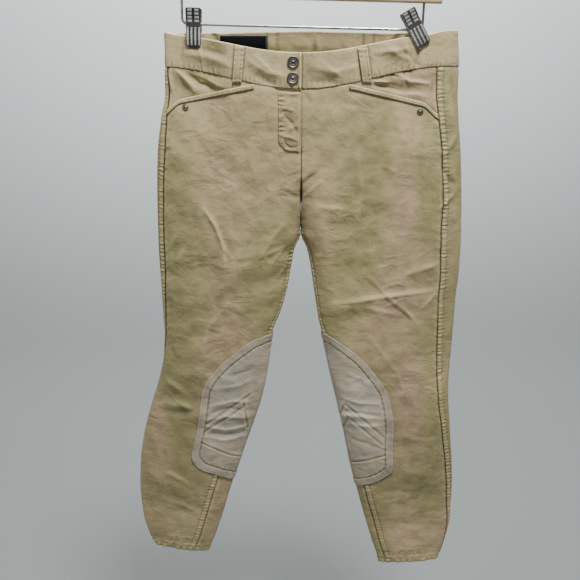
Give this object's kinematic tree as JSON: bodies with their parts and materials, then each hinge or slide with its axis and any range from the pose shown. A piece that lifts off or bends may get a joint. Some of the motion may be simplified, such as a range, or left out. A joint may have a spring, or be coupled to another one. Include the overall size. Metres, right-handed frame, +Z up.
{
  "type": "riding breeches on a wooden clip hanger",
  "caption": "Full-length riding breeches with suede-like knee patches, slanted front pockets and a two-snap waistband, hung flat from a wooden hanger with metal clips.",
  "frame": {"origin": "inner top of the hanger's hook, where a rail holds it", "axes": "+Z up, the garment's front faces -Y, +X towards the wearer's left leg"},
  "size_m": [0.5498, 0.0574, 1.0703],
  "materials": {
    "twill": "faded tan cotton twill with a slight stretch, matt, mottled by wear",
    "suede": "grey-beige suede-like knit, matt, short nap",
    "label_cloth": "black woven label, bare",
    "pewter": "dull old pewter colour, worn bright on its edges",
    "steel": "nickel plated, bright",
    "wood": "clear-lacquered light hardwood"
  },
  "bodies": {
    "root": {"front_right": "twill", "front_left": "twill", "back_right": "twill", "back_left": "twill", "pocket_facing_right": "twill", "pocket_facing_left": "twill", "pocket_welt_right": "twill", "pocket_welt_left": "twill", "fly_flap": "twill", "waistband_front_right": "twill", "waistband_front_left": "twill", "waistband_back": "twill", "belt_loop_front_right": "twill", "belt_loop_front_left": "twill", "belt_loop_back_right": "twill", "belt_loop_back_left": "twill", "knee_patch_right": "suede", "knee_patch_left": "suede", "label": "label_cloth", "snap_upper": "pewter", "snap_lower": "pewter", "rivet_right": "pewter", "rivet_left": "pewter", "hanger_bar": "wood", "hanger_hook": "steel", "hanger_wire": "steel", "clip_right_front": "steel", "clip_right_back": "steel", "clip_right_spring": "steel", "clip_left_front": "steel", "clip_left_back": "steel", "clip_left_spring": "steel"}
  },
  "joints": []
}
